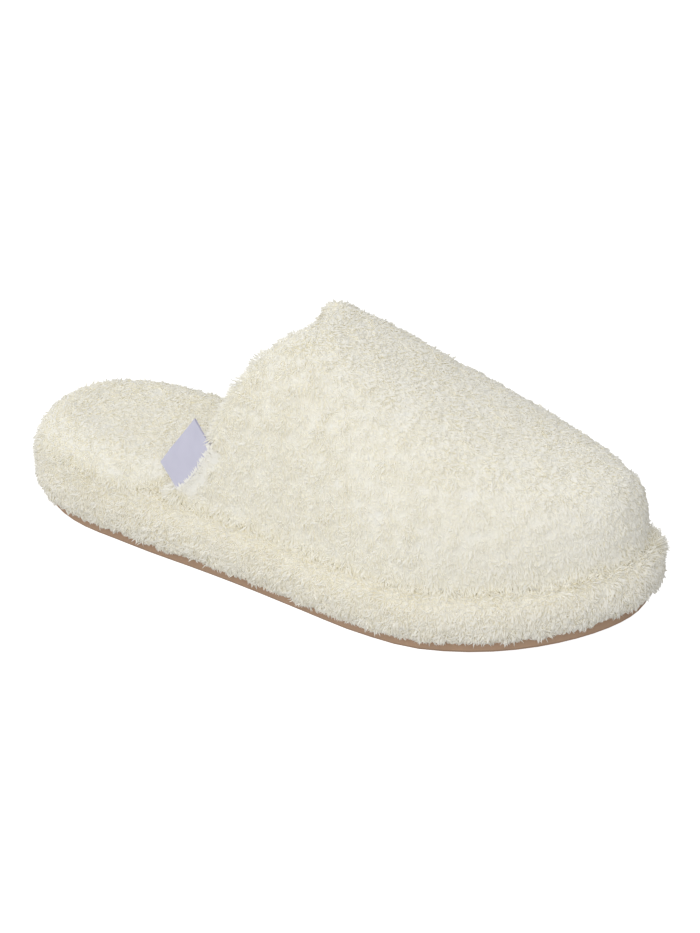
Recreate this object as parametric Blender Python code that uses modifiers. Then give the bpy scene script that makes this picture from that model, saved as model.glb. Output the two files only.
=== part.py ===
"""Clog slipper for the right foot: a pile upper on a pile-wrapped platform with a thin outsole.

The toe points along +X, the wearer's left is +Y and +Z is up, so the outer side is at -Y.
The slipper stands on its outsole, with the origin on the floor below the middle of its box.
Lengths are in metres. Shapes are worked out from the heel's end at x = 0, and the empty that
carries every piece then moves them to the origin.
"""

import math
from collections import namedtuple

import bmesh
import bpy
from mathutils import Vector

MM = 0.001
GAP = 0.3 * MM                   # clearance between pieces that meet
SOCK_GAP = 1.2 * MM              # clearance of the sock's outline, which narrows round the toe

# Sole outline, seen from above
SOLE_LENGTH = 256.5 * MM
HEEL_ROUND = 43 * MM             # how far the heel's curve reaches forward
TOE_ROUND = 82 * MM              # how far the toe's curve reaches back
HEEL_POWER = 2.2                 # roundness of each end, 2 for an ellipse
TOE_POWER = 2.0
TOE_SWEEP = 8.8 * MM             # how far the tip leans towards the big toe
SWEEP_START = 0.6                # share of the length where that lean starts
SWEEP_POWER = 1.6

# Sole heights
OUTSOLE = 5 * MM
FEATHER_HEEL = 25.9 * MM         # height of the seam between platform and upper
FEATHER_TOE = 23.7 * MM
FEATHER_BEND = 0.4               # share of the length where the seam starts to drop
TOE_SPRING = 8.6 * MM
SPRING_START = 0.72              # share of the length where the sole leaves the floor

# Upper
UPPER_WALL = 6 * MM              # backing, lining and pile together
CORNER_WALL = 3.2 * MM           # the wall thins to this at the rear corners
CORNER_SHARE = 0.08              # share of the way across where the wall is full again
UPPER_FOOT = 2.5 * MM            # upright strip along the seam
SEAM_INSET = 1.0 * MM            # the upper stands in from the sole outline by this much
SEAM_INSET_TOE = 2.0 * MM
SEAM_TOE_START = 0.7             # share of the length where that inset starts to grow
SHOULDER_POWER = 2.2             # how full the upper's cross section is
TOE_DOME = 9 * MM                # how far the toe's rounded front reaches back
THROAT_TOP = 126.5 * MM          # where the throat's rolled edge starts on top of the instep
THROAT_SIDE = 91 * MM            # where its straight sides reach the seam
THROAT_TAIL = 21 * MM            # how far the lower ends sweep back past that
CORNER_LEAN = 1.5 * MM           # how far the rear corners lean back down to the seam
THROAT_POWER = 1.52
TAIL_POWER = 17
CORNER_ANGLE = math.radians(1.3)  # keeps the rear corners from running out to a point

# Label
LABEL_LENGTH = 28 * MM
LABEL_DEPTH = 13 * MM
LABEL_THICK = 0.8 * MM
LABEL_LEAN = math.radians(14)    # how far it leans in over the throat
LABEL_START = 0.005              # where it starts, as a share of the way across the throat
LABEL_STRAIGHT = 0.3             # how much its sewn side cuts the throat's bend, 1 for straight
LABEL_GAP = 0.4 * MM             # clearance from the throat's edge
LABEL_STEP = 0.002               # step of the share across in which its length is measured

# Mesh steps
OUTLINE_STEPS = 36               # points along each side of the sole
UPPER_COLUMNS = 60
UPPER_ROWS = 13
ROLL_STEPS = 4                   # points around the throat's rolled edge
LABEL_COLUMNS = 6
LABEL_ROWS = 3
SMOOTH_ANGLE = math.radians(40)

# Half widths of the sole on each side of its centre line
Station = namedtuple("Station", "share outer inner")
STATIONS = (
    Station(0.00, 34.1 * MM, 34.1 * MM),
    Station(0.12, 34.1 * MM, 34.1 * MM),
    Station(0.25, 37.5 * MM, 34.5 * MM),
    Station(0.40, 40.9 * MM, 35.0 * MM),
    Station(0.55, 46.1 * MM, 43.1 * MM),
    Station(0.68, 50.2 * MM, 50.2 * MM),
    Station(0.80, 50.2 * MM, 50.2 * MM),
    Station(1.00, 47.7 * MM, 47.7 * MM),
)

# Height of the instep line above the seam, and the power of the arch across it
Instep = namedtuple("Instep", "from_toe height arch")
INSTEP = (
    Instep(0 * MM, 23.0 * MM, 2.68),
    Instep(20 * MM, 33.5 * MM, 2.67),
    Instep(50 * MM, 45.0 * MM, 2.65),
    Instep(90 * MM, 59.8 * MM, 2.65),
    Instep(115 * MM, 69.6 * MM, 2.72),
    Instep(140 * MM, 75.2 * MM, 2.90),
)

# Rings of each sole piece, from its lowest to its highest: level is a share of the piece's
# height, heel is how far the ring stands out from the sole outline behind the upper, and fore
# how far it stands out from the piece's own outline under or inside the upper
Ring = namedtuple("Ring", "level heel fore")
OUTSOLE_RINGS = (
    Ring(0.00, -1.8 * MM, -1.8 * MM),
    Ring(0.20, -1.0 * MM, -1.0 * MM),
    Ring(0.88, -1.0 * MM, -1.0 * MM),
    Ring(1.00, -1.6 * MM, -1.6 * MM),
)
MIDSOLE_RINGS = (
    Ring(0.00, -0.2 * MM, -0.2 * MM),
    Ring(0.06, 1.6 * MM, 1.6 * MM),
    Ring(0.24, 3.4 * MM, 3.5 * MM),
    Ring(0.48, 4.2 * MM, 4.2 * MM),
    Ring(0.70, 4.2 * MM, 3.8 * MM),
    Ring(0.87, 3.6 * MM, 2.3 * MM),
    Ring(1.00, 2.4 * MM, -0.2 * MM),
)
INSOLE_RINGS = (
    Ring(0.00, 2.2 * MM, -1.0 * MM),
    Ring(0.16, 2.2 * MM, 0.0 * MM),
    Ring(0.45, 1.0 * MM, -0.2 * MM),
    Ring(0.72, -1.6 * MM, -1.5 * MM),
    Ring(0.92, -5.6 * MM, -4.0 * MM),
    Ring(1.00, -11.0 * MM, -9.0 * MM),
    Ring(0.95, -21.0 * MM, -19.0 * MM),
)
INSOLE_HEEL = 12 * MM            # thickness of the sock, pile included
INSOLE_TOE = 8 * MM
PILLOW_END = 0.215               # shares of the length between which the heel's pillow narrows
UPPER_START = 0.280              # to slip inside the upper

PILE_CREAM = (0.83, 0.80, 0.69, 1.0)
OUTSOLE_TAN = (0.42, 0.25, 0.15, 1.0)
LABEL_WHITE = (0.72, 0.73, 0.82, 1.0)
PILE_ROUGHNESS = 0.95
OUTSOLE_ROUGHNESS = 0.75
LABEL_ROUGHNESS = 0.5


def clamp(value):
    return min(max(value, 0.0), 1.0)


def ease(value):
    t = clamp(value)
    return t * t * (3 - 2 * t)


def mix(a, b, t):
    return a + (b - a) * t


def smooth(rows, key, column, at):
    """Read one column of a table along a smooth curve through its rows."""
    keys = [getattr(row, key) for row in rows]
    values = [getattr(row, column) for row in rows]
    at = min(max(at, keys[0]), keys[-1])
    last = len(rows) - 1

    def slope(i):
        before, after = max(i - 1, 0), min(i + 1, last)
        return (values[after] - values[before]) / (keys[after] - keys[before])

    i = max(j for j in range(last) if keys[j] <= at)
    span = keys[i + 1] - keys[i]
    t = (at - keys[i]) / span
    start = values[i] + slope(i) * span * t
    end = values[i + 1] - slope(i + 1) * span * (1 - t)
    return mix(start, end, ease(t))


def rounding(share, power):
    """Return the width of a rounded end, from 0 at its tip to 1 where it ends."""
    return (1 - (1 - clamp(share)) ** power) ** (1 / power)


def spring(x):
    """Return how far the sole has left the floor."""
    return TOE_SPRING * clamp((x / SOLE_LENGTH - SPRING_START) / (1 - SPRING_START)) ** 2


def feather(x):
    """Return the height of the seam between the platform and the upper."""
    drop = clamp((x / SOLE_LENGTH - FEATHER_BEND) / (1 - FEATHER_BEND))
    return mix(FEATHER_HEEL, FEATHER_TOE, drop) + spring(x)


def centre_line(x):
    """Return the sideways place of the sole's middle, which bends towards the big toe."""
    return TOE_SWEEP * clamp((x / SOLE_LENGTH - SWEEP_START) / (1 - SWEEP_START)) ** SWEEP_POWER


def growth(heel, fore, start=PILLOW_END, end=UPPER_START):
    """Return a function for how far an outline stands out from the sole's own at x."""
    def at(x):
        return mix(heel, fore, ease((x / SOLE_LENGTH - start) / (end - start)))
    return at


def end_curve(x, grow):
    """Return how much of its width the outline keeps at x, from 0 at each tip to 1 between."""
    heel, toe = grow(0), grow(SOLE_LENGTH)
    heel_curve = rounding((x + heel) / (HEEL_ROUND + heel), HEEL_POWER)
    toe_curve = rounding((SOLE_LENGTH + toe - x) / (TOE_ROUND + toe), TOE_POWER)
    return heel_curve * toe_curve


def side_place(x, sideways, grow):
    """Return y for a sideways share, from -1 on the outer side to 1 on the inner side."""
    side = "outer" if sideways < 0 else "inner"
    width = smooth(STATIONS, "share", side, x / SOLE_LENGTH) + grow(x)
    return centre_line(x) + sideways * width


def outline(grow):
    """Return the outline from the heel along the outer side to the toe and back."""
    low, high = -grow(0), SOLE_LENGTH + grow(SOLE_LENGTH)
    turns = [math.pi * i / OUTLINE_STEPS for i in range(OUTLINE_STEPS + 1)]
    steps = [mix(low, high, (1 - math.cos(turn)) / 2) for turn in turns]
    outer = [(x, side_place(x, -end_curve(x, grow), grow)) for x in steps]
    inner = [(x, side_place(x, end_curve(x, grow), grow)) for x in reversed(steps[1:-1])]
    return outer + inner


def bridge(bm, loops):
    """Join loops of equally many points into a tube."""
    count = len(loops[0])
    for lower, upper in zip(loops, loops[1:]):
        for i in range(count):
            j = (i + 1) % count
            bm.faces.new((lower[i], lower[j], upper[j], upper[i]))


def cap(bm, loop):
    """Close a loop with strips between its two sides, which start and end at its first point."""
    count = len(loop)
    for i in range(count // 2):
        strip = (loop[i], loop[i + 1], loop[count - i - 1], loop[-i])
        bm.faces.new(dict.fromkeys(strip))


def loft(rings):
    """Return a closed mesh through rings of equally many points, with both ends capped."""
    bm = bmesh.new()
    loops = [[bm.verts.new(point) for point in ring] for ring in rings]
    bridge(bm, loops)
    cap(bm, loops[0])
    cap(bm, loops[-1])
    bmesh.ops.recalc_face_normals(bm, faces=bm.faces)
    return bm


def grid(points):
    """Return an open sheet through rows of equally many points."""
    bm = bmesh.new()
    rows = [[bm.verts.new(point) for point in row] for row in points]
    for lower, upper in zip(rows, rows[1:]):
        for i in range(len(lower) - 1):
            bm.faces.new((lower[i], upper[i], upper[i + 1], lower[i + 1]))
    return bm


def finish(color, name, roughness):
    """Return a plain material for one piece."""
    material = bpy.data.materials.new(name)
    material.use_nodes = True
    shader = material.node_tree.nodes["Principled BSDF"]
    shader.inputs["Base Color"].default_value = color
    shader.inputs["Roughness"].default_value = roughness
    shader.inputs["Metallic"].default_value = 0.0
    return material


def add_piece(name, bm, color, roughness, slipper, collection):
    """Turn a mesh into a named piece carried by the slipper's empty."""
    mesh = bpy.data.meshes.new(name)
    bm.to_mesh(mesh)
    bm.free()
    mesh.shade_smooth()
    mesh.set_sharp_from_angle(angle=SMOOTH_ANGLE)
    mesh.materials.append(finish(color, name, roughness))
    piece = bpy.data.objects.new(name, mesh)
    piece.parent = slipper
    collection.objects.link(piece)
    return piece


def thicken(piece, thickness):
    """Give an open sheet its real thickness, half of it on each side."""
    solidify = piece.modifiers.new("Wall", "SOLIDIFY")
    solidify.thickness = thickness
    solidify.offset = 0


def sole_piece(table, low, high, base=lambda x: 0.0):
    """Return a sole piece through a table of rings, between two heights that follow x."""
    rings = []
    for row in table:
        def stands_out(x, row=row):
            return growth(row.heel, row.fore + base(x))(x)
        rings.append([(x, y, mix(low(x), high(x), row.level)) for x, y in outline(stands_out)])
    return loft(rings)


def build_outsole():
    return sole_piece(OUTSOLE_RINGS, spring, lambda x: spring(x) + OUTSOLE)


def build_midsole():
    return sole_piece(MIDSOLE_RINGS, lambda x: spring(x) + OUTSOLE + GAP, feather)


seam_line = growth(-SEAM_INSET, -SEAM_INSET_TOE, SEAM_TOE_START, 1.0)


def build_insole():
    def top(x):
        return feather(x) + mix(INSOLE_HEEL, INSOLE_TOE, ease(x / SOLE_LENGTH))

    def inside_upper(x):
        return seam_line(x) - UPPER_WALL - SOCK_GAP
    return sole_piece(INSOLE_RINGS, lambda x: feather(x) + GAP, top, inside_upper)


def throat_x(rise):
    """Return how far forward the throat's edge is, for a rise from 0 at the seam to 1 on top."""
    straight = mix(THROAT_SIDE, THROAT_TOP, rise ** THROAT_POWER)
    return straight - THROAT_TAIL * (1 - rise) ** TAIL_POWER


def throat_plan(across):
    """Return x and the sideways share of the throat's edge, from the outer corner to the inner."""
    angle = mix(CORNER_ANGLE, math.pi - CORNER_ANGLE, across)
    x = throat_x(math.sin(angle))
    return Vector((x, -math.cos(angle) * end_curve(x, seam_line)))


def seam_plan(across):
    """Return x and the sideways share of the seam, from the outer corner round the toe."""
    corner = throat_plan(0).x - CORNER_LEAN
    tip = SOLE_LENGTH - SEAM_INSET_TOE
    x = mix(corner, tip, math.sin(math.pi * across))
    side = -1 if across < 0.5 else 1
    return Vector((x, side * end_curve(x, seam_line)))


def upper_point(across, down):
    """Return a point of the upper's outer face, with down from 0 at the throat to 1 at the seam."""
    x, sideways = throat_plan(across).lerp(seam_plan(across), math.sin(down * math.pi / 2))
    reach = 1.0 if down == 1 else min(abs(sideways) / end_curve(x, seam_line), 1.0)
    from_toe = SOLE_LENGTH - SEAM_INSET_TOE - x
    arch = smooth(INSTEP, "from_toe", "arch", from_toe)
    height = smooth(INSTEP, "from_toe", "height", from_toe) * rounding(from_toe / TOE_DOME, 2)
    rise = height * (1 - reach ** arch) ** (1 / SHOULDER_POWER)
    return Vector((x, side_place(x, sideways, seam_line), feather(x) + GAP + UPPER_FOOT + rise))


def upper_wall(across):
    """Return the wall's thickness, which is less at the two rear corners."""
    return mix(CORNER_WALL, UPPER_WALL, ease(min(across, 1 - across) / CORNER_SHARE))


def upper_column(across):
    """Return the upper's outer face down one column, from the throat to the seam."""
    column = [upper_point(across, j / UPPER_ROWS) for j in range(UPPER_ROWS + 1)]
    column.append(column[-1] - Vector((0, 0, UPPER_FOOT)))
    return column


def column_normals(across):
    """Return the direction that the upper faces at each point of a column."""
    column = upper_column(across)
    before = upper_column(max(across - 1 / UPPER_COLUMNS, 0))
    after = upper_column(min(across + 1 / UPPER_COLUMNS, 1))
    foot = len(column) - 1
    normals = []
    for j in range(len(column)):
        fall = column[min(j + 1, foot)] - column[max(j - 1, 0)]
        if j >= foot - 1:
            fall = Vector((0, 0, -1))
        normals.append(fall.cross(after[j] - before[j]).normalized())
    return normals


def throat_back(across, normal):
    """Return the direction along the upper's face that leads back off the throat's edge."""
    after = upper_point(min(across + 1 / UPPER_COLUMNS, 1), 0)
    before = upper_point(max(across - 1 / UPPER_COLUMNS, 0), 0)
    return normal.cross(after - before).normalized()


def build_upper():
    """Return the upper's wall: its outer face, a rolled throat edge and the face behind it."""
    loops = []
    for i in range(UPPER_COLUMNS + 1):
        across = i / UPPER_COLUMNS
        wall = upper_wall(across)
        column = upper_column(across)
        normals = column_normals(across)
        inside = [point - normal * wall for point, normal in zip(column, normals)]
        middle = (column[0] + inside[0]) / 2
        back = throat_back(across, normals[0])
        roll = []
        for k in range(1, ROLL_STEPS):
            turn = math.pi * k / ROLL_STEPS
            roll.append(middle + (back * math.sin(turn) - normals[0] * math.cos(turn)) * wall / 2)
        loops.append(inside[::-1] + roll + column)
    return loft(loops)


def label_seat(across):
    """Return a point just outside the throat's edge, and the way that the upper faces there."""
    normal = column_normals(across)[0]
    return upper_point(across, 0) + normal * (LABEL_THICK / 2 + LABEL_GAP), normal


def label_end():
    """Return the share across the throat where the label has its full length."""
    across, length = LABEL_START, 0.0
    while length < LABEL_LENGTH:
        length += (label_seat(across + LABEL_STEP)[0] - label_seat(across)[0]).length
        across += LABEL_STEP
    return across


def build_label():
    """Return the label's middle sheet, sewn outside the throat and straight on its far side."""
    end = label_end()
    shares = [i / LABEL_COLUMNS for i in range(LABEL_COLUMNS + 1)]
    seats = [label_seat(mix(LABEL_START, end, share))[0] for share in shares]
    chord = [seats[0].lerp(seats[-1], share) for share in shares]
    sewn = [seat.lerp(point, LABEL_STRAIGHT) for seat, point in zip(seats, chord)]
    normal = label_seat((LABEL_START + end) / 2)[1]
    back = normal.cross(seats[-1] - seats[0]).normalized()
    out = (back * math.cos(LABEL_LEAN) - normal * math.sin(LABEL_LEAN)) * LABEL_DEPTH
    rows = []
    for j in range(LABEL_ROWS + 1):
        share = j / LABEL_ROWS
        rows.append([near.lerp(point + out, share) for near, point in zip(sewn, chord)])
    return grid(rows)


def box_middle():
    """Return the middle of the slipper's box from above, which its widest ring sets."""
    widest = max(row.heel for row in MIDSOLE_RINGS)
    sides = [y for x, y in outline(growth(widest, widest))]
    return SOLE_LENGTH / 2, (min(sides) + max(sides)) / 2


def main():
    for old in list(bpy.data.objects):
        bpy.data.objects.remove(old)
    collection = bpy.data.collections.new("clog_slipper")
    bpy.context.scene.collection.children.link(collection)
    slipper = bpy.data.objects.new("slipper", None)
    middle_x, middle_y = box_middle()
    slipper.location = (-middle_x, -middle_y, 0)
    collection.objects.link(slipper)

    add_piece("outsole", build_outsole(), OUTSOLE_TAN, OUTSOLE_ROUGHNESS, slipper, collection)
    add_piece("midsole", build_midsole(), PILE_CREAM, PILE_ROUGHNESS, slipper, collection)
    add_piece("insole", build_insole(), PILE_CREAM, PILE_ROUGHNESS, slipper, collection)
    add_piece("upper", build_upper(), PILE_CREAM, PILE_ROUGHNESS, slipper, collection)
    label = add_piece("side_label", build_label(), LABEL_WHITE, LABEL_ROUGHNESS, slipper, collection)
    thicken(label, LABEL_THICK)


main()
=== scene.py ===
"""Looks of the clog slipper: chenille pile on its upper, platform and sock, a grained outsole and a
woven label. Lengths are in metres, in the frame of the solids: +X to the toe and +Z up.
"""

import math
from collections import namedtuple

import bmesh
import bpy
import numpy as np
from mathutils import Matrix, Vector
from mathutils import noise as soft_noise
from mathutils.bvhtree import BVHTree
from mathutils.kdtree import KDTree


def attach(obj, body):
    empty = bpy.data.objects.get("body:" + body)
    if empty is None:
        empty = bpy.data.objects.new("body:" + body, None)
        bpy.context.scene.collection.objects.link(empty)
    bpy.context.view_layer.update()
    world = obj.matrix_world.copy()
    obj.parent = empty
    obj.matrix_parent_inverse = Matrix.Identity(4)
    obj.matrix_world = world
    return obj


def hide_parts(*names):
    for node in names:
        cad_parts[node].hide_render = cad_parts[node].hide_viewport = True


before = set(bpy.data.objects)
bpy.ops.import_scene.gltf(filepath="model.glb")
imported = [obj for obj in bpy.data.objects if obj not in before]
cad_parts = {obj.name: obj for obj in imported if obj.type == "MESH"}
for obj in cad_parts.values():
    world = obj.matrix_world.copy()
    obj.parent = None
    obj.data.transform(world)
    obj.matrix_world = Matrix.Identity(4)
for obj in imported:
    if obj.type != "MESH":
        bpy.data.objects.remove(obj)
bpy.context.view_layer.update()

MM = 0.001
BODY = "root"

# Camera, worked out from the slipper's outline in the photograph
VIEW_AZIMUTH = math.radians(31.35)
VIEW_ELEVATION = math.radians(28.35)
VIEW_DISTANCE = 1.65
VIEW_TARGET = Vector((0.75, -1.28, 20.0)) * MM
AIM_RIGHT = 4.17 * MM            # the picture's middle lies this far right of and above the target
AIM_UP = 16.7 * MM
LENS = 165.5

# Light
KEY_POWER = 4.8
KEY_SIZE = 0.9
KEY_BACK = 1.4                   # the key light stands this far from the slipper towards the camera
KEY_UP = 0.15                    # and this far up and left of that line
KEY_LEFT = 0.15
SURROUND_RIGHT = 0.30            # brightness of the surround, which rises from the picture's right
SURROUND_LEFT = 1.00             # to its left
FLOOR_SIZE = 12
FLOOR_GREY = (0.45, 0.45, 0.45, 1)
FLOOR_GLOW = 0.07
FLOOR_SHOWN = 0.90               # added to that glow for the camera, so that the floor shows white
LIGHT_BOUNCES = 24               # white pile passes light on many times

# Pile
STRAND_RADIUS = 0.30 * MM
RADIUS_RANGE = (0.8, 1.2)        # shares of that radius, and of a field's length, that occur
LENGTH_RANGE = (0.8, 1.15)
STRAND_SINK = 0.12 * MM          # how far a strand's root is sunk in the backing
STRAND_SIDES = 3
STRAND_MIDDLE = 0.6              # how far along it a strand is thickest
LEAN_SPREAD = 6                  # degrees by which the strands' lean varies
BEND_RANGE = (-16, 14)           # degrees by which a strand's outer part leans more than its inner
CURL = 0.6                       # how far it also turns aside
ROOT_DENSITY = 5                 # roots tried for each that the spacing leaves room for
TUFT_SPACING = 3.0 * MM          # strands gather into tufts about this far apart
PULL_RANGE = (0.5, 1.0)          # shares of a field's tuft value by which tips are drawn
MIDDLE_PULL = 0.25               # a strand's middle follows its tip by this share
LUMP_SIZE = 4 * MM               # the pile rises, falls and turns in soft lumps about this wide
LUMP_SHARE = 0.6
LUMP_LEAN = 14                   # a strand stands up by this many degrees more on top of a lump
SWIRL = 0.45                     # how far the strands of a lump turn the same way
LOOSE = 0.55                     # and how far each strays from it
NOISE_SEED = 5                   # keeps the lumps and swirls the same each time
COVER_REACH = 1.5 * MM           # a root is hidden where another solid is this close above it
REST_REACH = 0.8 * MM            # a point of the backing this close to another piece rests on it
WELD = 0.01 * MM
# The backing lies this deep below its solid's surface, and no deeper than a share of a thin wall
BACKING_DEPTHS = {"upper": 0.35 * MM, "midsole": 0.6 * MM, "insole": 0.2 * MM}
BACKING_SHARE = 0.36
DEEP_START = 0.012               # inside the upper the pile thins between these two stations
DEEP_END = 0.055
DEEP_KEEP = 0.25
CORE = (-2 * MM, 45 * MM)        # y and z of a line along the upper's inside
CORE_MARGIN = -2 * MM            # a face that turns its back on that line is outside
CELL_MARGIN = 0.1                # free share round each strand's cell of the map

# Where two pieces meet, the strands of the upper piece hang over the seam and those of the lower
# one stand up into it
SEAMS = {"upper": ("midsole",), "insole": ("midsole",), "midsole": ("upper", "insole")}
SEAM_REACH = 6 * MM
SEAM_HANG = 1.4
HANGING_LEAN = 50
STANDING_LEAN = 45
SEAM_GROWTH = 0.45               # and the hanging ones are this much longer there, unevenly
GROWTH_LUMPS = 2                 # how far that growth follows the lumps
TOE_GROWTH = 0.4                 # so are the standing ones, round the toe only
TOE_START = 80 * MM
TOE_LENGTH = 30 * MM

# On the throat's edge, which faces back, the strands stand up more and are longer
RIM_END = 6 * MM                 # the edge lies behind this station
RIM_FACING = 0.3                 # how far a face turns back where that starts, and where it is full
RIM_FULL = 0.7
RIM_LEAN = 38                    # degrees taken off their lean
RIM_GROWTH = 0.35
PEAK_START = 97 * MM             # less so from this height on, and not at all at the top
PEAK_FULL = 101 * MM

# One row for each field of pile: its name, the solid it covers, which of that solid's faces it
# takes, its slot, the space between strands, their length, how far they lean, how much they all hang
# down and how much they are combed to the toe, how far their tips are drawn together into tufts, how
# many pieces the field is split into, and the seed of its random draws
Field = namedtuple("Field", "name node faces slot spacing length lean hang comb tuft pieces seed")
FIELDS = (
    Field("vamp_pile", "upper", "outside", "vamp_pile", 0.47 * MM, 2.9 * MM, 74, 0.8, 0.25, 0.6, 3, 11),
    Field("lining_pile", "upper", "inside", "vamp_pile", 0.8 * MM, 3.4 * MM, 66, 0.4, 0.0, 0.45, 1, 23),
    Field("wrap_pile", "midsole", "all", "wrap_pile", 0.47 * MM, 3.3 * MM, 62, 0.8, 0.0, 0.75, 2, 37),
    Field("sock_pile", "insole", "all", "sock_pile", 0.52 * MM, 3.3 * MM, 78, 0.5, 0.15, 0.45, 1, 53),
)

# Label: a ribbon folded along its free side and sewn along the other, over the throat's edge
LABEL_FREE = (Vector((-57.95, -35.31, 40.15)) * MM, Vector((-42.63, -35.23, 62.55)) * MM)
LABEL_SEWN = (Vector((-47.90, -39.85, 33.27)) * MM, Vector((-32.57, -39.77, 55.67)) * MM)
LABEL_BOW = 2.05 * MM            # its sewn side follows the throat's bend by this much
LABEL_BOW_SKEW = 0.8
LABEL_COLUMNS = 48
LABEL_ROWS = 10
LABEL_TURNS = 6                  # steps round its fold
LABEL_HALF = 0.45 * MM           # half its thickness at the fold, and at the sewn side
LABEL_HALF_SEWN = 0.32 * MM
RIBBON_THICK = 0.2 * MM
LABEL_WAVE = 0.35 * MM           # its free side is a little wavy
WAVE_TURNS = 0.7
WAVE_START = 0.1
WAVE_POWER = 1.5
LABEL_REACH = 8 * MM             # strands this near it are kept out of it
FOLD_ANGLE = math.radians(40)    # edges sharper than this show as edges
THREAD_PITCH = 0.3 * MM
SELVEDGE = 1.1 * MM
STITCHES = 11
STITCH_LENGTH = 1.7 * MM
STITCH_INSET = 1.6 * MM
STITCH_RISE = 0.1 * MM
STITCH_SKEW = 0.1                # a stitch is highest this far past its middle
EDGE_TUFTS = 700                 # strands of the upper that climb over the sewn side
TUFT_SLOPE = 6 * MM              # from this far off
TUFT_HEIGHT = 1.3 * MM
TUFT_CLEAR = 0.15 * MM
TUFT_NEAREST = 0.2 * MM
TUFT_SWAY = 0.5 * MM             # how far they stray along the label, and their middles' share of it
SWAY_SHARE = 0.4
MIDDLE_RUN = (0.6, 1.3)          # how far their middles and tips run towards it, in millimetres
TIP_RUN = (1.8, 2.8)

# Colours, in linear light, and the patterns in them
TIP_CREAM = (0.985, 0.969, 0.908, 1)
# The roots' deeper creams, on the upper and sock and on the platform, are painted shade at the foot of
# each strand
ROOT_SHADE_CREAM = (0.975, 0.962, 0.90, 1)
WRAP_ROOT_SHADE_CREAM = (0.975, 0.96, 0.905, 1)
# The backing's deeper cream is painted shade, showing in the gaps between strands
BACKING_SHADE_CREAM = (0.97, 0.955, 0.885, 1)
TAN_LIGHT = (0.64, 0.435, 0.30, 1)
TAN_DARK = (0.44, 0.28, 0.185, 1)
SATIN_LIGHT = (0.75, 0.745, 0.88, 1)
SATIN_SHADE = (0.64, 0.635, 0.78, 1)
PATCH_SCALE = 60.0               # soft patches in the pile's colour
PATCH_AMOUNT = 0.25
STRAND_TONE = 0.35               # how far strands differ in colour
TIP_LIFT = 0.25                  # how far the tip's colour reaches down over the painted shade at the roots
PILE_SHINE = 0.15
MATT = 0.95
KNIT_SCALE = 900.0               # the backing's knit
KNIT_BUMP = 0.6
KNIT_DEPTH = 0.4 * MM
TAN_CLOUD_SCALE = 45.0           # the outsole's cloudy colour and its grain
TAN_CLOUD_SHARE = 0.7
GRAIN_SCALE = 1500.0
GRAIN_SHARE = 0.35
GRAIN_BUMP = 0.5
GRAIN_DEPTH = 0.25 * MM
TAN_ROUGHNESS = (0.62, 0.2)      # the least roughness, and how far it rises in the cloud
SATIN_CLOUD_SCALE = 160.0        # the ribbon's cloudy colour and its weave
SATIN_CLOUD_SHARE = 0.75
# how much painted shade lies between the ribbon's threads
WEAVE_SHADE_SHARE = 0.35
SELVEDGE_SHADE = 0.3
WEAVE_BUMP = 0.35
WEAVE_DEPTH = 0.06 * MM
SATIN_ROUGHNESS = (0.38, 0.2)
SATIN_SHINE = 0.4


def nodes_of(material):
    """Return a fresh material's nodes, its links and its shader."""
    material.use_nodes = True
    tree = material.node_tree
    return tree.nodes, tree.links, tree.nodes["Principled BSDF"]


def new_group(name, inputs, outputs):
    """Return a shader node group with named sockets, and its inner input and output nodes."""
    group = bpy.data.node_groups.new(name, "ShaderNodeTree")
    for label, kind, value in inputs:
        socket = group.interface.new_socket(label, in_out="INPUT", socket_type=kind)
        socket.default_value = value
    for label, kind in outputs:
        group.interface.new_socket(label, in_out="OUTPUT", socket_type=kind)
    return group, group.nodes.new("NodeGroupInput"), group.nodes.new("NodeGroupOutput")


def place_group(material, group, **values):
    """Place a node group in a material with values of its own."""
    node = material.node_tree.nodes.new("ShaderNodeGroup")
    node.node_tree = group
    for label, value in values.items():
        node.inputs[label].default_value = value
    return node


def math_node(tree, operation, first, second):
    """Join two values, each a socket or a number, with a Math node and return its output."""
    node = tree.nodes.new("ShaderNodeMath")
    node.operation = operation
    for socket, value in zip(node.inputs, (first, second)):
        if isinstance(value, (int, float)):
            socket.default_value = value
        else:
            tree.links.new(value, socket)
    return node.outputs[0]


def mix_color(tree, share, first, second):
    """Mix two colours, each a socket or a colour, by a share and return the result."""
    node = tree.nodes.new("ShaderNodeMix")
    node.data_type = "RGBA"
    for name, value in (("Factor_Float", share), ("A_Color", first), ("B_Color", second)):
        socket = next(s for s in node.inputs if s.identifier == name)
        if isinstance(value, (int, float, tuple)):
            socket.default_value = value
        else:
            tree.links.new(value, socket)
    return next(s for s in node.outputs if s.identifier == "Result_Color")


def noise(tree, scale, detail=2.0, roughness=0.5):
    """Return a noise value that follows the object's own coordinates."""
    place = tree.nodes.new("ShaderNodeTexCoord")
    node = tree.nodes.new("ShaderNodeTexNoise")
    node.inputs["Detail"].default_value = detail
    node.inputs["Roughness"].default_value = roughness
    tree.links.new(place.outputs["Object"], node.inputs["Vector"])
    if isinstance(scale, (int, float)):
        node.inputs["Scale"].default_value = scale
    else:
        tree.links.new(scale, node.inputs["Scale"])
    return node.outputs["Fac"]


def attribute(tree, name):
    node = tree.nodes.new("ShaderNodeAttribute")
    node.attribute_name = name
    return node.outputs["Fac"]


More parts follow.
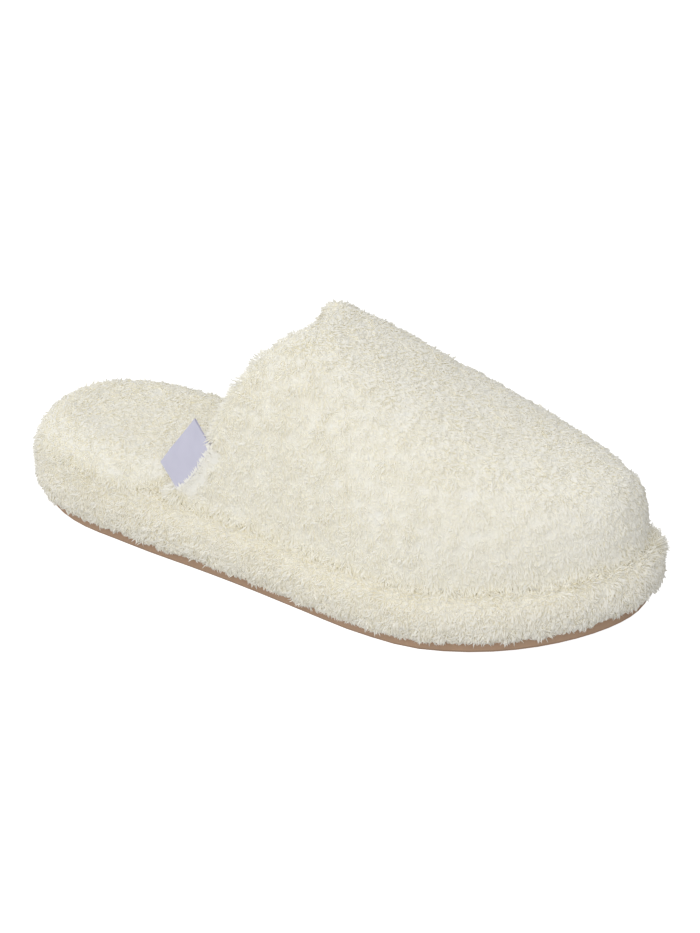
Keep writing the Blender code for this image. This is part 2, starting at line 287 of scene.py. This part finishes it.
def pile_tone_group():
    """Colour of pile: painted shade deeper at the roots, with a tone for each strand and soft patches.
    """
    group, source, result = new_group(
        "pile_tone",
        (
            ("Tip", "NodeSocketColor", TIP_CREAM),
            ("Root", "NodeSocketColor", ROOT_SHADE_CREAM),
            ("Patch Scale", "NodeSocketFloat", PATCH_SCALE),
            ("Patch Amount", "NodeSocketFloat", PATCH_AMOUNT),
        ),
        (("Color", "NodeSocketColor"),),
    )
    rise = attribute(group, "rise")
    tone = attribute(group, "tone")
    patch = noise(group, source.outputs["Patch Scale"])
    patch = math_node(group, "MULTIPLY", patch, source.outputs["Patch Amount"])
    tone = math_node(group, "MULTIPLY", tone, STRAND_TONE)
    depth = math_node(group, "SUBTRACT", rise, patch)
    depth = math_node(group, "SUBTRACT", depth, tone)
    depth = math_node(group, "ADD", depth, TIP_LIFT)
    clamped = group.nodes.new("ShaderNodeClamp")
    group.links.new(depth, clamped.inputs["Value"])
    # From tip to root the colour deepens into the root cream: painted shade
    color = mix_color(group, clamped.outputs[0], source.outputs["Root"], source.outputs["Tip"])
    group.links.new(color, result.inputs["Color"])
    return group


def pile_material(name, group, root):
    """Soft matt chenille with a tone for each strand."""
    material = bpy.data.materials.new(name)
    links, shader = nodes_of(material)[1:]
    tone = place_group(material, group, Root=root)
    links.new(tone.outputs["Color"], shader.inputs["Base Color"])
    shader.inputs["Roughness"].default_value = MATT
    shader.inputs["Specular IOR Level"].default_value = PILE_SHINE
    return material


def backing_material():
    """Knitted cloth under the pile, in a slightly deeper cream that is painted shade in the gaps
    between strands.
    """
    material = bpy.data.materials.new("backing_knit_and_shade")
    nodes, links, shader = nodes_of(material)
    tree = material.node_tree
    cloud = noise(tree, KNIT_SCALE, detail=3.0)
    # The knit mixes the root cream and the deeper backing cream, both painted shade
    links.new(mix_color(tree, cloud, ROOT_SHADE_CREAM, BACKING_SHADE_CREAM), shader.inputs["Base Color"])
    bump = nodes.new("ShaderNodeBump")
    bump.inputs["Strength"].default_value = KNIT_BUMP
    bump.inputs["Distance"].default_value = KNIT_DEPTH
    links.new(cloud, bump.inputs["Height"])
    links.new(bump.outputs["Normal"], shader.inputs["Normal"])
    shader.inputs["Roughness"].default_value = MATT
    return material


def outsole_material():
    """Matt tan sole sheet with a fine grain and cloudy colour."""
    material = bpy.data.materials.new("outsole_grain")
    nodes, links, shader = nodes_of(material)
    tree = material.node_tree
    cloud = noise(tree, TAN_CLOUD_SCALE, detail=4.0, roughness=0.6)
    grain = noise(tree, GRAIN_SCALE, detail=3.0, roughness=0.6)
    shade = math_node(tree, "ADD", math_node(tree, "MULTIPLY", cloud, TAN_CLOUD_SHARE),
                      math_node(tree, "MULTIPLY", grain, GRAIN_SHARE))
    links.new(mix_color(tree, shade, TAN_DARK, TAN_LIGHT), shader.inputs["Base Color"])
    bump = nodes.new("ShaderNodeBump")
    bump.inputs["Strength"].default_value = GRAIN_BUMP
    bump.inputs["Distance"].default_value = GRAIN_DEPTH
    links.new(grain, bump.inputs["Height"])
    links.new(bump.outputs["Normal"], shader.inputs["Normal"])
    least, rise = TAN_ROUGHNESS
    rough = math_node(tree, "ADD", math_node(tree, "MULTIPLY", cloud, rise), least)
    links.new(rough, shader.inputs["Roughness"])
    return material


def satin_material():
    """Bare woven ribbon: crossing threads, with painted shade deeper between them, and deeper along the
    selvedges.
    """
    material = bpy.data.materials.new("label_ribbon")
    nodes, links, shader = nodes_of(material)
    tree = material.node_tree
    turn = 2 * math.pi / THREAD_PITCH
    along = math_node(tree, "SINE", math_node(tree, "MULTIPLY", attribute(tree, "along"), turn), 0)
    across = attribute(tree, "across")
    lines = math_node(tree, "SINE", math_node(tree, "MULTIPLY", across, turn), 0)
    weave = math_node(tree, "MULTIPLY", along, lines)
    weave = math_node(tree, "ADD", math_node(tree, "MULTIPLY", weave, 0.5), 0.5)
    edge = math_node(tree, "LESS_THAN", across, SELVEDGE)
    cloud = noise(tree, SATIN_CLOUD_SCALE, detail=3.0)
    # The colour deepens where the weave is low: painted shade between the threads
    shade = math_node(tree, "MULTIPLY", weave, WEAVE_SHADE_SHARE)
    shade = math_node(tree, "ADD", shade, math_node(tree, "MULTIPLY", cloud, SATIN_CLOUD_SHARE))
    shade = math_node(tree, "SUBTRACT", shade, math_node(tree, "MULTIPLY", edge, SELVEDGE_SHADE))
    clamped = nodes.new("ShaderNodeClamp")
    links.new(shade, clamped.inputs["Value"])
    color = mix_color(tree, clamped.outputs[0], SATIN_SHADE, SATIN_LIGHT)
    links.new(color, shader.inputs["Base Color"])
    bump = nodes.new("ShaderNodeBump")
    bump.inputs["Strength"].default_value = WEAVE_BUMP
    bump.inputs["Distance"].default_value = WEAVE_DEPTH
    links.new(weave, bump.inputs["Height"])
    links.new(bump.outputs["Normal"], shader.inputs["Normal"])
    least, rise = SATIN_ROUGHNESS
    rough = math_node(tree, "ADD", math_node(tree, "MULTIPLY", cloud, rise), least)
    links.new(rough, shader.inputs["Roughness"])
    shader.inputs["Specular IOR Level"].default_value = SATIN_SHINE
    return material


def solid_tree(node):
    """Return a search tree of a solid's surface."""
    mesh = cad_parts[node].data
    points = [v.co for v in mesh.vertices]
    return BVHTree.FromPolygons(points, [p.vertices[:] for p in mesh.polygons])


TREES = {node: solid_tree(node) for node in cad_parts}
PILE_NODES = ("upper", "midsole", "insole")


def add_object(name, mesh, material):
    """Add a mesh as a piece of the slipper."""
    piece = bpy.data.objects.new(name, mesh)
    bpy.context.scene.collection.objects.link(piece)
    mesh.materials.append(material)
    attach(piece, BODY)
    return piece


def others(node):
    return [tree for name, tree in TREES.items() if name not in (node, "side_label")]


def welded(node):
    """Return a solid's mesh with its split corners joined again."""
    bm = bmesh.new()
    bm.from_mesh(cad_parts[node].data)
    bmesh.ops.remove_doubles(bm, verts=bm.verts, dist=WELD)
    bm.normal_update()
    return bm


def backing_mesh(node):
    """Return a solid's surface drawn in below the pile's tips, still resting where it rested."""
    bm = welded(node)
    own, near = TREES[node], others(node)
    for vert in bm.verts:
        normal = vert.normal.copy()
        hit = own.ray_cast(vert.co - normal * WELD, -normal)
        wall = hit[3] if hit[3] else 1.0
        rests = any(tree.find_nearest(vert.co, REST_REACH)[0] for tree in near)
        if rests:
            normal.z = 0
        vert.co -= normal * min(BACKING_DEPTHS[node], wall * BACKING_SHARE)
    for face in bm.faces:
        face.smooth = True
    mesh = bpy.data.meshes.new(node + "_backing")
    bm.to_mesh(mesh)
    bm.free()
    return mesh


def root_spreader():
    """Geometry nodes that spread points evenly over a surface, with the way it faces at each."""
    tree = bpy.data.node_groups.new("pile_roots", "GeometryNodeTree")
    tree.interface.new_socket("Geometry", in_out="INPUT", socket_type="NodeSocketGeometry")
    tree.interface.new_socket("Geometry", in_out="OUTPUT", socket_type="NodeSocketGeometry")
    source = tree.nodes.new("NodeGroupInput")
    result = tree.nodes.new("NodeGroupOutput")
    spread = tree.nodes.new("GeometryNodeDistributePointsOnFaces")
    spread.name = "Spread"
    spread.distribute_method = "POISSON"
    store = tree.nodes.new("GeometryNodeStoreNamedAttribute")
    store.data_type = "FLOAT_VECTOR"
    store.inputs["Name"].default_value = "facing"
    points = tree.nodes.new("GeometryNodePointsToVertices")
    tree.links.new(source.outputs[0], spread.inputs["Mesh"])
    tree.links.new(spread.outputs["Points"], store.inputs["Geometry"])
    tree.links.new(spread.outputs["Normal"], store.inputs["Value"])
    tree.links.new(store.outputs[0], points.inputs[0])
    tree.links.new(points.outputs[0], result.inputs[0])
    return tree


def spread_roots(surface, spreader, spacing, seed):
    """Return roots spread over a surface and the way it faces at each."""
    spread = spreader.nodes["Spread"]
    spread.inputs["Distance Min"].default_value = spacing
    spread.inputs["Density Max"].default_value = ROOT_DENSITY / spacing ** 2
    spread.inputs["Seed"].default_value = seed
    modifier = surface.modifiers.new("Roots", "NODES")
    modifier.node_group = spreader
    graph = bpy.context.evaluated_depsgraph_get()
    evaluated = surface.evaluated_get(graph)
    mesh = evaluated.to_mesh()
    roots = np.empty(len(mesh.vertices) * 3)
    facing = np.empty(len(mesh.vertices) * 3)
    mesh.vertices.foreach_get("co", roots)
    mesh.attributes["facing"].data.foreach_get("vector", facing)
    evaluated.to_mesh_clear()
    surface.modifiers.remove(modifier)
    return roots.reshape(-1, 3), facing.reshape(-1, 3)


def within(tree, point):
    """Return whether a point lies inside a solid."""
    place, normal = tree.find_nearest(point)[:2]
    return (point - place).dot(normal) < 0


def open_roots(field, roots, facing):
    """Pick the roots that nothing covers, on the faces that the field takes."""
    near = others(field.node)
    above = roots + facing * COVER_REACH
    keep = np.array([not any(within(tree, Vector(point)) for tree in near) for point in above])
    if field.faces != "all":
        arms = roots - np.array([0.0, *CORE])
        arms[:, 0] = 0.0
        outside = np.sum(arms * facing, axis=1) > CORE_MARGIN
        keep &= outside if field.faces == "outside" else ~outside
    return keep


def thin_inside(field, roots, keep, rng):
    """Thin the pile out of sight, deep inside the upper."""
    if field.name in ("lining_pile", "sock_pile"):
        depth = np.clip((roots[:, 0] - DEEP_START) / (DEEP_END - DEEP_START), 0, 1)
        keep &= rng.random(len(roots)) > depth * (1 - DEEP_KEEP)
    return keep


def unit(vectors):
    return vectors / np.maximum(np.linalg.norm(vectors, axis=1, keepdims=True), 1e-9)


def seam_nearness(node, roots):
    """Return how near each root is to the seam with the next piece, 1 at the seam."""
    trees = [TREES[name] for name in SEAMS[node]]
    nearness = np.zeros(len(roots))
    for tree in trees:
        gaps = [tree.find_nearest(Vector(root), SEAM_REACH)[3] for root in roots]
        near = [0.0 if gap is None else 1 - gap / SEAM_REACH for gap in gaps]
        nearness = np.maximum(nearness, near)
    return nearness


def rim_share(node, roots, facing):
    """Return how far each root belongs to the throat's edge, below its top."""
    if node != "upper":
        return np.zeros(len(roots))
    share = np.clip((-facing[:, 0] - RIM_FACING) / (RIM_FULL - RIM_FACING), 0, 1)
    peak = np.clip((roots[:, 2] - PEAK_START) / (PEAK_FULL - PEAK_START), 0, 1)
    return share * (roots[:, 0] < RIM_END) * (1 - peak)


def strand_lines(field, roots, facing, rng):
    """Return each strand's root, middle and tip, leaning and curling along the surface."""
    count = len(roots)
    near = seam_nearness(field.node, roots)
    seam_hang, seam_lean, growth = SEAM_HANG, HANGING_LEAN, SEAM_GROWTH
    if field.node == "midsole":
        toe = np.clip((roots[:, 0] - TOE_START) / TOE_LENGTH, 0, 1)
        seam_hang, seam_lean, growth = 0.0, STANDING_LEAN, TOE_GROWTH * toe
    hang = field.hang + (seam_hang - field.hang) * near
    down = np.array([field.comb, 0.0, -1.0])
    along = (down - facing * (facing @ down)[:, None]) * hang[:, None]
    swirl = np.array([soft_noise.noise_vector(Vector(root) / LUMP_SIZE) for root in roots])
    loose = rng.normal(size=(count, 3)) * LOOSE + swirl * SWIRL
    loose -= facing * np.sum(loose * facing, axis=1)[:, None]
    along = unit(along + loose)
    curl = unit(along + np.cross(facing, along) * rng.uniform(-CURL, CURL, (count, 1)))
    lump = np.array([soft_noise.noise(Vector(root) / LUMP_SIZE) for root in roots])
    lean = field.lean - LUMP_LEAN * lump + (seam_lean - field.lean) * near
    rim = rim_share(field.node, roots, facing)
    lean -= RIM_LEAN * rim
    lean = np.radians(lean + rng.normal(0, LEAN_SPREAD, count))[:, None]
    bend = lean + np.radians(rng.uniform(*BEND_RANGE, count))[:, None]
    length = field.length * (1 + LUMP_SHARE * lump) * (1 + growth * near * (1 + GROWTH_LUMPS * lump))
    length *= 1 + RIM_GROWTH * rim
    length = (length * rng.uniform(*LENGTH_RANGE, count))[:, None]
    low = roots - facing * STRAND_SINK
    middle = low + (facing * np.cos(lean) + along * np.sin(lean)) * length * STRAND_MIDDLE
    tip = middle + (facing * np.cos(bend) + curl * np.sin(bend)) * length * (1 - STRAND_MIDDLE)
    return low, middle, tip


def gather(lines, share, rng):
    """Draw the strands' tips together into tufts."""
    low, middle, tip = lines
    order = rng.permutation(len(tip))
    tree = KDTree(len(tip))
    for i in order:
        tree.insert(tip[i], i)
    tree.balance()
    free = np.ones(len(tip), bool)
    home = np.zeros(len(tip), int)
    for i in order:
        if not free[i]:
            continue
        for _, j, _ in tree.find_range(tip[i], TUFT_SPACING / 2):
            if free[j]:
                free[j] = False
                home[j] = i
    pull = share * rng.uniform(*PULL_RANGE, (len(tip), 1))
    drawn = tip + (tip[home] - tip) * pull
    lower = middle + (tip[home] - middle) * pull * MIDDLE_PULL
    folded = np.sum((drawn - lower) * (lower - low), axis=1) < 0
    drawn[folded] = tip[folded]
    lower[folded] = middle[folded]
    return low, lower, drawn


def strand_mesh(name, lines, facing, rng):
    """Return one mesh of closed spindles, with a tone, a rise and a cell of the map for each."""
    count = len(facing)
    low, middle, tip = lines
    way = unit(tip - low)
    side = unit(np.cross(way, facing) + 1e-6)
    upward = np.cross(way, side)
    radius = (STRAND_RADIUS * rng.uniform(*RADIUS_RANGE, count))[:, None]
    turns = np.arange(STRAND_SIDES) * 2 * math.pi / STRAND_SIDES
    ring = [middle + (side * math.cos(t) + upward * math.sin(t)) * radius for t in turns]
    points = np.stack([low, *ring, tip], axis=1).reshape(-1, 3)

    root, top = 0, STRAND_SIDES + 1
    faces, spots = [], []
    for k in range(STRAND_SIDES):
        here, after = 1 + k, 1 + (k + 1) % STRAND_SIDES
        faces += [(after, here, root), (here, after, top)]
        spots += [(k + 1, 1), (k, 1), (k + 0.5, 0), (k, 1), (k + 1, 1), (k + 0.5, 2)]
    per_strand = STRAND_SIDES + 2
    number = np.arange(count)
    corners = (np.concatenate(faces)[None] + number[:, None] * per_strand).reshape(-1)
    starts = np.arange(0, len(corners), 3)

    mesh = bpy.data.meshes.new(name)
    mesh.vertices.add(len(points))
    mesh.vertices.foreach_set("co", points.astype(np.float32).ravel())
    mesh.loops.add(len(corners))
    mesh.loops.foreach_set("vertex_index", corners.astype(np.int32))
    mesh.polygons.add(len(starts))
    mesh.polygons.foreach_set("loop_start", starts.astype(np.int32))
    mesh.update(calc_edges=True)
    mesh.shade_flat()

    tone = np.repeat(rng.random(count), per_strand)
    rise = np.tile([0.0] + [STRAND_MIDDLE] * STRAND_SIDES + [1.0], count)
    for label, values in (("tone", tone), ("rise", rise)):
        layer = mesh.attributes.new(label, "FLOAT", "POINT")
        layer.data.foreach_set("value", values.astype(np.float32))
    cells = math.ceil(math.sqrt(count))
    corner = np.column_stack([number % cells, number // cells]) + CELL_MARGIN
    inside = np.array(spots) / [STRAND_SIDES, 2] * (1 - 2 * CELL_MARGIN)
    places = (corner[:, None] + inside[None]) / cells
    layer = mesh.uv_layers.new(name="OFBake")
    layer.uv.foreach_set("vector", places.astype(np.float32).ravel())
    return mesh


def clear_of_label(lines):
    """Pick the strands that don't run through the label."""
    tree = TREES["side_label"]
    low, middle, tip = lines
    keep = np.ones(len(low), bool)
    for i in range(len(low)):
        start = Vector(middle[i])
        if tree.find_nearest(start, LABEL_REACH)[0] is None:
            continue
        for a, b in ((low[i], middle[i]), (middle[i], tip[i])):
            way = Vector(b) - Vector(a)
            if tree.ray_cast(Vector(a), way, way.length)[0] is not None:
                keep[i] = False
    return keep


def label_axes():
    """Return the directions along the label, from its sewn to its free side, and out of its face."""
    along = (LABEL_FREE[1] - LABEL_FREE[0]).normalized()
    out = (LABEL_FREE[0] - LABEL_SEWN[0]).normalized()
    return along, out, along.cross(out)


def label_point(share, row):
    """Return a point of the label's middle sheet, at a share of its length and of its depth."""
    out, front = label_axes()[1:]
    bow = LABEL_BOW * math.sin(math.pi * share ** LABEL_BOW_SKEW)
    sewn = LABEL_SEWN[0].lerp(LABEL_SEWN[1], share) - out * bow
    free = LABEL_FREE[0].lerp(LABEL_FREE[1], share)
    wave = math.sin(2 * math.pi * (WAVE_TURNS * share + WAVE_START)) * row ** WAVE_POWER
    return sewn.lerp(free, row) + front * LABEL_WAVE * wave


def label_section(share, inset):
    """Return one section of the ribbon: up its front, round the fold and down its back."""
    out, front = label_axes()[1:]
    rows = [j / LABEL_ROWS for j in range(LABEL_ROWS + 1)]
    halves = [LABEL_HALF_SEWN + (LABEL_HALF - LABEL_HALF_SEWN) * row - inset for row in rows]
    face = [(label_point(share, row), half) for row, half in zip(rows, halves)]
    points = [place + front * half for place, half in face]
    end, half = face[-1]
    for k in range(1, LABEL_TURNS):
        angle = math.pi * k / LABEL_TURNS
        points.append(end + (front * math.cos(angle) + out * math.sin(angle)) * half)
    return points + [place - front * half for place, half in reversed(face)]


def label_mesh():
    """Return the folded ribbon as one closed mesh, with its length and depth kept for the weave."""
    bm = bmesh.new()
    length = (LABEL_FREE[1] - LABEL_FREE[0]).length
    depth = (LABEL_FREE[0] - LABEL_SEWN[0]).length
    rows = [j / LABEL_ROWS for j in range(LABEL_ROWS + 1)]
    depths = [row * depth for row in rows + [1.0] * (LABEL_TURNS - 1) + rows[::-1]]
    sheets, marks = [], []
    for inset in (0.0, RIBBON_THICK):
        sheet = []
        for i in range(LABEL_COLUMNS + 1):
            share = i / LABEL_COLUMNS
            sheet.append([bm.verts.new(point) for point in label_section(share, inset)])
            marks += [(share * length, value) for value in depths]
        sheets.append(sheet)
    outer, inner = sheets
    last = len(depths) - 1
    for i in range(LABEL_COLUMNS):
        for sheet in sheets:
            for j in range(last):
                bm.faces.new((sheet[i][j], sheet[i + 1][j], sheet[i + 1][j + 1], sheet[i][j + 1]))
        for j in (0, last):
            bm.faces.new((outer[i][j], outer[i + 1][j], inner[i + 1][j], inner[i][j]))
    for i in (0, LABEL_COLUMNS):
        for j in range(last):
            bm.faces.new((outer[i][j], outer[i][j + 1], inner[i][j + 1], inner[i][j]))
    bmesh.ops.recalc_face_normals(bm, faces=bm.faces)
    mesh = bpy.data.meshes.new("label")
    bm.to_mesh(mesh)
    bm.free()
    mesh.shade_smooth()
    mesh.set_sharp_from_angle(angle=FOLD_ANGLE)
    for k, name in enumerate(("along", "across")):
        layer = mesh.attributes.new(name, "FLOAT", "POINT")
        layer.data.foreach_set("value", np.array(marks)[:, k].astype(np.float32))
    return mesh


def dress_label(material):
    """The folded ribbon in place of its plain solid, with a row of stitches by its sewn side."""
    ribbon = add_object("label", label_mesh(), material)
    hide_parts("side_label")
    along, out, front = label_axes()
    ends = []
    for i in range(STITCHES):
        place = label_point((i + 0.5) / STITCHES, 0) + out * STITCH_INSET + front * LABEL_HALF_SEWN
        half = along * STITCH_LENGTH / 2
        ends.append((place - half, place + front * STITCH_RISE + half * STITCH_SKEW, place + half))
    lines = [np.array(points) for points in zip(*ends)]
    facing = np.tile(np.array(front), (STITCHES, 1))
    rng = np.random.default_rng(STITCHES)
    add_object("label_stitches", strand_mesh("label_stitches", lines, facing, rng), material)


def tuft_point(share, back, sway):
    """Return a point on the slope of pile beside the label, or over its face where back is below 0."""
    along, out, front = label_axes()
    edge = label_point(share, 0) + along * sway
    if back < 0:
        return edge - out * back + front * (LABEL_HALF + TUFT_CLEAR)
    place = TREES["upper"].find_nearest(edge - out * back)[0]
    return place + front * TUFT_HEIGHT * max(0.0, 1 - back / TUFT_SLOPE) ** 2


def edge_tufts(rng):
    """Return strands of the upper that climb over the label's sewn side, and the way they face."""
    lines, facing = [], []
    for share in rng.uniform(0.0, 1.0, EDGE_TUFTS):
        back = rng.uniform(TUFT_NEAREST, TUFT_SLOPE)
        sway = rng.normal(0, TUFT_SWAY)
        low, normal = TREES["upper"].find_nearest(tuft_point(share, back, 0))[:2]
        middle = tuft_point(share, back - rng.uniform(*MIDDLE_RUN) * MM, sway * SWAY_SHARE)
        tip = tuft_point(share, back - rng.uniform(*TIP_RUN) * MM, sway)
        lines.append((low, middle, tip))
        facing.append(normal)
    return [np.array(points) for points in zip(*lines)], np.array(facing)


def add_pile(field, surface, spreader, material):
    """Cover a backing with one field of strands."""
    rng = np.random.default_rng(field.seed)
    roots, facing = spread_roots(surface, spreader, field.spacing, field.seed)
    keep = thin_inside(field, roots, open_roots(field, roots, facing), rng)
    roots, facing = roots[keep], facing[keep]
    lines = gather(strand_lines(field, roots, facing, rng), field.tuft, rng)
    keep = clear_of_label(lines)
    lines = [points[keep] for points in lines]
    facing = facing[keep]
    if field.name == "vamp_pile":
        tufts, way = edge_tufts(rng)
        lines = [np.concatenate(pair) for pair in zip(lines, tufts)]
        facing = np.concatenate([facing, way])
    order = np.argsort(lines[0][:, 0])
    for number, share in enumerate(np.array_split(order, field.pieces), 1):
        name = field.name if field.pieces == 1 else f"{field.name}_{number}"
        mesh = strand_mesh(name, [points[share] for points in lines], facing[share], rng)
        add_object(name, mesh, material)


def dress_pile():
    """Replace the soft solids by backings with pile on them."""
    soft_noise.seed_set(NOISE_SEED)
    tone = pile_tone_group()
    knit = backing_material()
    spreader = root_spreader()
    backings = {}
    for node in PILE_NODES:
        backings[node] = add_object(node + "_backing", backing_mesh(node), knit)
        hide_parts(node)
    for field in FIELDS:
        # The root cream is painted shade at the foot of the strands
        root = WRAP_ROOT_SHADE_CREAM if field.node == "midsole" else ROOT_SHADE_CREAM
        material = pile_material(field.name + "_chenille", tone, root)
        add_pile(field, backings[field.node], spreader, material)


def dress_outsole():
    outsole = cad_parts["outsole"]
    outsole.data.materials.clear()
    outsole.data.materials.append(outsole_material())


def add_floor():
    """A plain pale floor that shows white to the camera and throws little glow on the slipper."""
    bpy.ops.mesh.primitive_plane_add(size=FLOOR_SIZE)
    floor = bpy.context.object
    floor.name = "floor"
    material = bpy.data.materials.new("floor_white")
    nodes, links, shader = nodes_of(material)
    shader.inputs["Base Color"].default_value = FLOOR_GREY
    shader.inputs["Roughness"].default_value = 1.0
    shader.inputs["Specular IOR Level"].default_value = 0.0
    shader.inputs["Emission Color"].default_value = (1, 1, 1, 1)
    path = nodes.new("ShaderNodeLightPath")
    glow = math_node(material.node_tree, "MULTIPLY", path.outputs["Is Camera Ray"], FLOOR_SHOWN)
    glow = math_node(material.node_tree, "ADD", glow, FLOOR_GLOW)
    links.new(glow, shader.inputs["Emission Strength"])
    floor.data.materials.append(material)


def view_axes():
    """Return the directions to the camera, and right and up in its picture."""
    back = Vector((math.sin(VIEW_AZIMUTH) * math.cos(VIEW_ELEVATION),
                   -math.cos(VIEW_AZIMUTH) * math.cos(VIEW_ELEVATION),
                   math.sin(VIEW_ELEVATION)))
    right = Vector((math.cos(VIEW_AZIMUTH), math.sin(VIEW_AZIMUTH), 0))
    return back, right, back.cross(right)


def add_camera():
    back, right, up = view_axes()
    data = bpy.data.cameras.new("camera")
    data.lens = LENS
    camera = bpy.data.objects.new("camera", data)
    bpy.context.scene.collection.objects.link(camera)
    camera.location = VIEW_TARGET + back * VIEW_DISTANCE
    aim = VIEW_TARGET + right * AIM_RIGHT + up * AIM_UP - camera.location
    camera.rotation_euler = aim.to_track_quat("-Z", "Y").to_euler()
    bpy.context.scene.camera = camera


def add_softbox(name, place, size, power):
    """A square soft light that faces the slipper."""
    data = bpy.data.lights.new(name, "AREA")
    data.size = size
    data.energy = power
    light = bpy.data.objects.new(name, data)
    bpy.context.scene.collection.objects.link(light)
    light.location = place
    light.rotation_euler = (VIEW_TARGET - place).to_track_quat("-Z", "Y").to_euler()


def add_surround(left):
    """A pale surround that brightens evenly towards one side."""
    world = bpy.data.worlds.new("surround")
    bpy.context.scene.world = world
    world.use_nodes = True
    tree = world.node_tree
    place = tree.nodes.new("ShaderNodeTexCoord")
    facing = tree.nodes.new("ShaderNodeVectorMath")
    facing.operation = "DOT_PRODUCT"
    facing.inputs[1].default_value = left
    tree.links.new(place.outputs["Generated"], facing.inputs[0])
    middle = (SURROUND_LEFT + SURROUND_RIGHT) / 2
    slope = (SURROUND_LEFT - SURROUND_RIGHT) / 2
    strength = math_node(tree, "MULTIPLY", facing.outputs["Value"], slope)
    strength = math_node(tree, "ADD", strength, middle)
    tree.links.new(strength, tree.nodes["Background"].inputs["Strength"])
    tree.nodes["Background"].inputs["Color"].default_value = (1, 1, 1, 1)


def add_light():
    """A soft light at the camera, and a surround that is brighter on the left."""
    back, right, up = view_axes()
    place = VIEW_TARGET + back * KEY_BACK + up * KEY_UP - right * KEY_LEFT
    add_softbox("key", place, KEY_SIZE, KEY_POWER)
    add_surround(-right)
    bpy.context.scene.cycles.diffuse_bounces = LIGHT_BOUNCES
    bpy.context.scene.cycles.max_bounces = LIGHT_BOUNCES
    bpy.context.scene.view_settings.view_transform = "Standard"


dress_pile()
dress_label(satin_material())
dress_outsole()
add_floor()
add_camera()
add_light()
